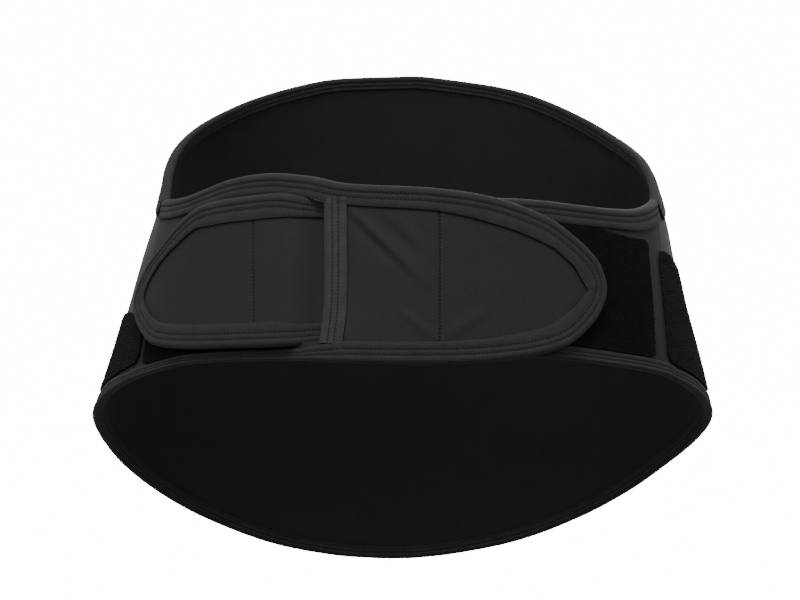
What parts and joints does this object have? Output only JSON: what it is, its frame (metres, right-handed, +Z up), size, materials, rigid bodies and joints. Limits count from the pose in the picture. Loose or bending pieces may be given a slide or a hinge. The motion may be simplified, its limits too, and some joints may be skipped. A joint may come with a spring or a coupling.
{
  "type": "maternity support belt",
  "caption": "Wraparound cloth belt with a tall back panel and hook-and-loop wings that cross through a slot at the front, closed as worn.",
  "frame": {"origin": "middle of the loop, at the middle height of the closure band, where the waist is", "axes": "+Z up along the wearer, -Y towards the closure at the front, +X to the right of someone facing the closure"},
  "size_m": [0.3342, 0.279, 0.276],
  "materials": {
    "panel_cloth": "smooth black laminated knit with a soft sheen",
    "binding": "black elastic binding with stitch rows",
    "loop_pile": "black brushed loop pile",
    "ribbed_loop": "black short loop pile in fine ribs",
    "hook_tape": "black hook tape"
  },
  "bodies": {
    "root": {"back_panel": "panel_cloth", "slotted_wing": "panel_cloth", "pull_wing": "panel_cloth", "back_binding_top": "binding", "back_binding_bottom": "binding", "slotted_wing_binding": "binding", "pull_wing_binding": "binding", "slot_binding": "binding", "loop_patch_left": "loop_pile", "loop_patch_right": "loop_pile", "side_patch_left": "ribbed_loop", "side_patch_right": "ribbed_loop", "hook_patch_left": "hook_tape", "hook_patch_right": "hook_tape"}
  },
  "joints": []
}
